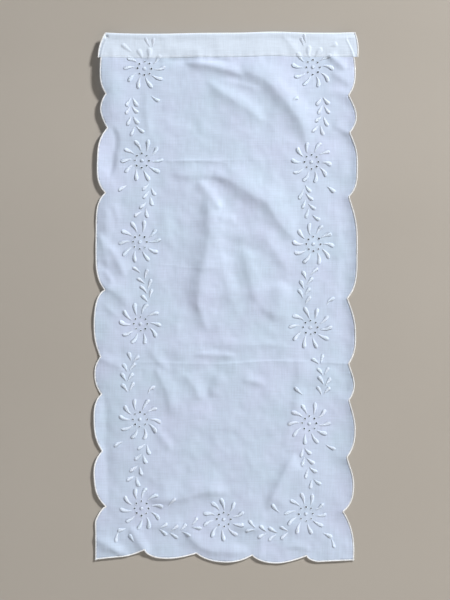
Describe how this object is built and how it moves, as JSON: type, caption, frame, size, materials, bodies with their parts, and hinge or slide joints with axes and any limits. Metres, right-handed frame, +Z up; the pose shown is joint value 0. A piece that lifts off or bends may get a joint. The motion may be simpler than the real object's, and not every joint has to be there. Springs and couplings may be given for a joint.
{
  "type": "embroidered curtain",
  "caption": "White cotton curtain panel with whitework daisies and leaf sprays, scalloped corded edges and an open rod casing along its top.",
  "frame": {"origin": "on top of the folded edge, on the panel's centre line", "axes": "+Z up along the hanging cloth, X along the folded edge, the embroidered face towards -Y"},
  "size_m": [0.4621, 0.0116, 0.9289],
  "materials": {
    "cotton": "matte fine plain weave",
    "thread": "soft sheen, laid satin stitches"
  },
  "bodies": {
    "root": {"panel": "cotton"}
  },
  "joints": []
}
